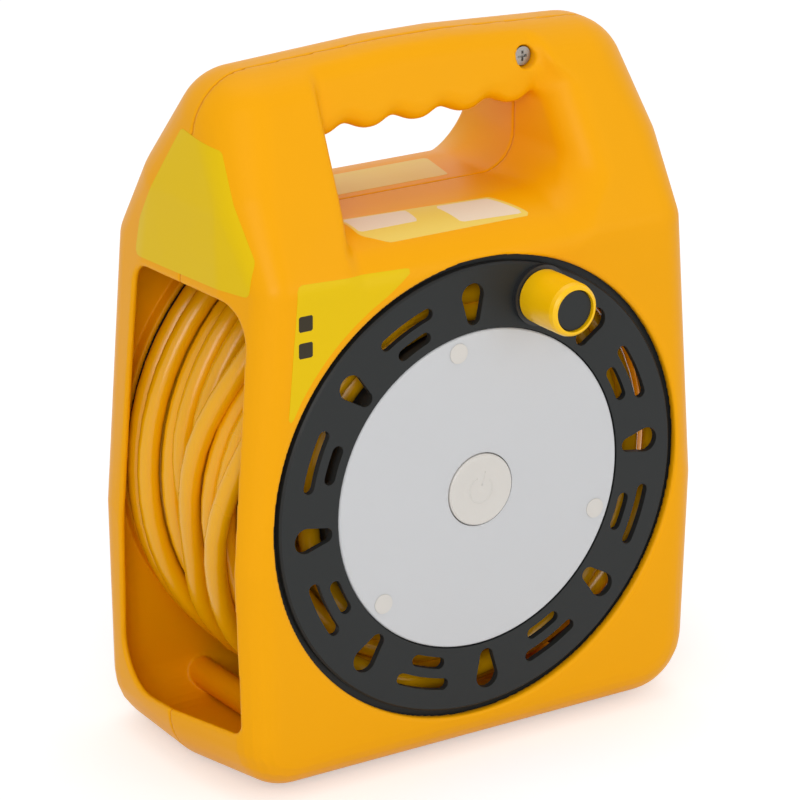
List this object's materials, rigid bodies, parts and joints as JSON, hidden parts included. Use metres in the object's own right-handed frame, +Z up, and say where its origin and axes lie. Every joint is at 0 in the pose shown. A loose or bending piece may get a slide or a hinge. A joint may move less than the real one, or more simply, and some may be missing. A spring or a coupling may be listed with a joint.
{
  "type": "extension cord reel",
  "caption": "Closed-case extension cord reel with a carrying grip, a lamp in the front of its drum, earthed sockets in the back and a winding knob.",
  "frame": {"origin": "centre of the flat base that the case stands on, under the middle of the case's width and depth", "axes": "+Z up, -Y out of the lamp face that the winding knob is on, +X to the right as seen from that face"},
  "size_m": [0.217, 0.133, 0.2773],
  "materials": {
    "case": "satin",
    "flange": "matte",
    "diffuser": "satin",
    "button": "satin",
    "board": "satin",
    "led": "gloss",
    "black": "matte",
    "steel": "satin",
    "contact": "satin",
    "red": "satin",
    "knob": "satin",
    "cord": "gloss"
  },
  "bodies": {
    "case": {"front_shell": "case", "rear_shell": "case", "case_screws": "steel", "handle_screw": "steel", "plug_body": "black", "plug_pins": "steel", "plug_earth": "steel", "strain_relief": "black", "cord_tail": "cord"},
    "drum": {"front_flange": "flange", "diffuser": "diffuser", "diffuser_screws": "steel", "screw_plugs": "button", "lamp_board": "board", "lamp_leds": "led", "lamp_switch": "black", "drum_hub": "black", "rear_flange": "flange", "socket_panel": "black", "socket_contacts": "contact", "earth_clips": "steel", "usb_module": "black", "thermal_cutout": "black", "drum_screws": "steel", "knob_post": "black", "knob_screw": "steel", "cord_core": "cord", "cord_winding": "cord"},
    "lamp_push": {"lamp_button": "button"},
    "reset_push": {"reset_button": "red"},
    "knob": {"knob_sleeve": "knob", "knob_cap": "flange"}
  },
  "joints": [
    {"name": "drum_spin", "type": "hinge", "parent": "case", "child": "drum", "pos_m": [0, 0, 0.1095], "axis": [0, 1, 0], "continuous": true},
    {"name": "lamp_press", "type": "slide", "parent": "drum", "child": "lamp_push", "axis": [0, 1, 0], "range_m": [0, 0.0015], "stiffness_N_per_m": 400},
    {"name": "reset_press", "type": "slide", "parent": "drum", "child": "reset_push", "axis": [0, -1, 0], "range_m": [0, 0.0015], "stiffness_N_per_m": 400},
    {"name": "knob_spin", "type": "hinge", "parent": "drum", "child": "knob", "pos_m": [0.02572, -0.068, 0.18335], "axis": [0, 1, 0], "continuous": true}
  ]
}
